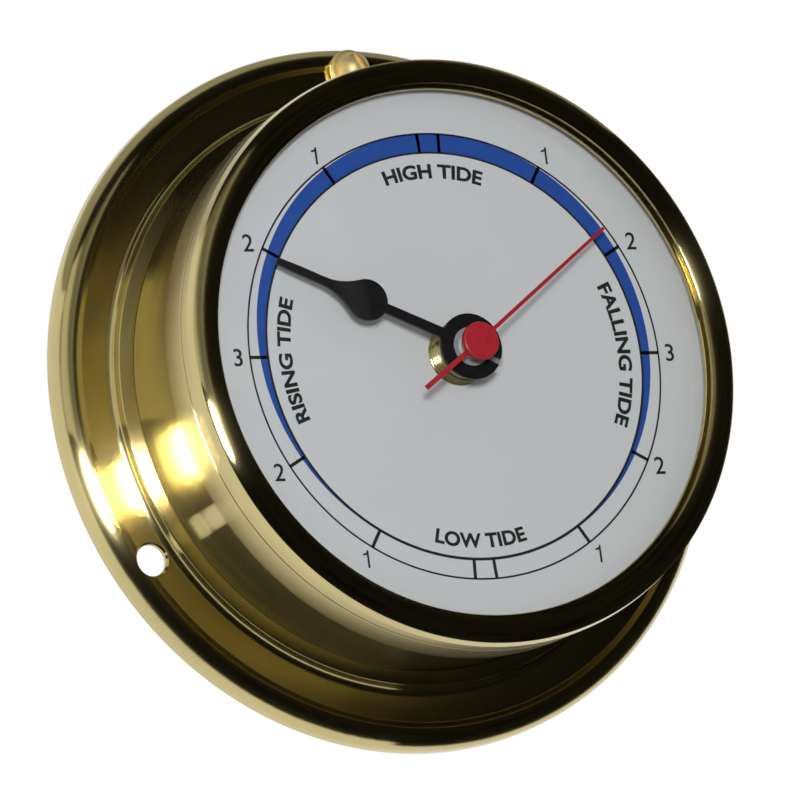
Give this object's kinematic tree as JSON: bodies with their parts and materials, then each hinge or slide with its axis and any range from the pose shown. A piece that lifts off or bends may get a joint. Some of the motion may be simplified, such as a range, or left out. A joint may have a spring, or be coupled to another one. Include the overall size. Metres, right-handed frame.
{
  "type": "tide clock",
  "caption": "Round brass bulkhead tide clock with a flanged case, domed crystal, tide hand, seconds hand and a quartz movement behind the dial.",
  "frame": {"origin": "centre of the rear face of the mounting flange, on the wall", "axes": "+Z to the top of the dial, -Y out of the wall towards the viewer, +X to the right seen from the front"},
  "size_m": [0.127, 0.0458, 0.127],
  "materials": {
    "case_brass": "turned and polished, clear lacquered",
    "hub_brass": "turned",
    "crystal": "clear, polished",
    "gasket": "matt",
    "dial": "matt silver paint, printed",
    "housing_plastic": "fine moulded texture",
    "white_plastic": "moulded",
    "steel": "plain",
    "copper": "enamelled wire",
    "magnet": "ground",
    "board": "solder mask",
    "chip": "matt",
    "cell_jacket": "printed shrink jacket",
    "collet_grey": "satin",
    "hand_black": "satin paint",
    "hand_red": "gloss paint"
  },
  "bodies": {
    "case": {"case_flange": "case_brass", "case_barrel": "case_brass", "bezel_ring": "case_brass", "crystal": "crystal", "crystal_gasket": "gasket", "dial_plate": "dial", "damper_washer": "gasket", "movement_housing": "housing_plastic", "rear_cover": "housing_plastic", "cover_screws": "steel", "train_bridge": "white_plastic", "bridge_screws": "steel", "threaded_bush": "hub_brass", "dial_nut": "hub_brass", "battery": "cell_jacket", "negative_contact": "steel", "positive_contact": "steel", "circuit_board": "board", "board_chip": "chip", "quartz_can": "steel", "stator_plate": "steel", "coil_core": "steel", "coil_bobbin": "white_plastic", "coil_winding": "copper"},
    "rotor": {"rotor_pinion": "white_plastic", "rotor_magnet": "magnet"},
    "step": {"step_wheel": "white_plastic"},
    "seconds": {"seconds_wheel": "white_plastic", "seconds_arbor": "steel", "seconds_hand": "hand_red", "seconds_cap": "hand_red"},
    "third": {"third_wheel": "white_plastic"},
    "centre": {"centre_wheel": "white_plastic", "clutch_spring": "steel"},
    "cannon": {"cannon_pinion": "hub_brass"},
    "minute": {"minute_wheel": "white_plastic"},
    "tide": {"tide_wheel": "white_plastic", "tide_collet": "collet_grey", "tide_hand": "hand_black"},
    "setting": {"setting_pinion": "white_plastic", "setting_knob": "housing_plastic"}
  },
  "joints": [
    {"name": "rotor_spin", "type": "hinge", "parent": "case", "child": "rotor", "pos_m": [-0.01125, -0.017, 0.01211], "axis": [0, 1, 0], "continuous": true},
    {"name": "step_spin", "type": "hinge", "parent": "case", "child": "step", "pos_m": [-0.0067, -0.0165, 0.00562], "axis": [0, 1, 0], "continuous": true},
    {"name": "seconds_spin", "type": "hinge", "parent": "case", "child": "seconds", "pos_m": [0, -0.017, 0], "axis": [0, 1, 0], "continuous": true},
    {"name": "third_spin", "type": "hinge", "parent": "case", "child": "third", "pos_m": [0.009, -0.0185, 0], "axis": [0, 1, 0], "continuous": true},
    {"name": "centre_spin", "type": "hinge", "parent": "case", "child": "centre", "pos_m": [0, -0.021, 0], "axis": [0, 1, 0], "continuous": true},
    {"name": "cannon_spin", "type": "hinge", "parent": "case", "child": "cannon", "pos_m": [0, -0.0225, 0], "axis": [0, 1, 0], "continuous": true},
    {"name": "minute_spin", "type": "hinge", "parent": "case", "child": "minute", "pos_m": [0.00206, -0.023, 0.00768], "axis": [0, 1, 0], "continuous": true},
    {"name": "tide_spin", "type": "hinge", "parent": "case", "child": "tide", "pos_m": [0, -0.025, 0], "axis": [0, 1, 0], "continuous": true},
    {"name": "setting_spin", "type": "hinge", "parent": "case", "child": "setting", "pos_m": [0.00792, -0.0225, 0.01354], "axis": [0, 1, 0], "continuous": true}
  ],
  "couplings": [
    {"joint": "step_spin", "follows": "rotor_spin", "ratio": -0.2},
    {"joint": "seconds_spin", "follows": "rotor_spin", "ratio": 0.033333},
    {"joint": "third_spin", "follows": "rotor_spin", "ratio": -0.0044444},
    {"joint": "centre_spin", "follows": "rotor_spin", "ratio": 0.00055556},
    {"joint": "minute_spin", "follows": "setting_spin", "ratio": -0.32432},
    {"joint": "cannon_spin", "follows": "setting_spin", "ratio": 1.2},
    {"joint": "tide_spin", "follows": "setting_spin", "ratio": 0.096607}
  ]
}
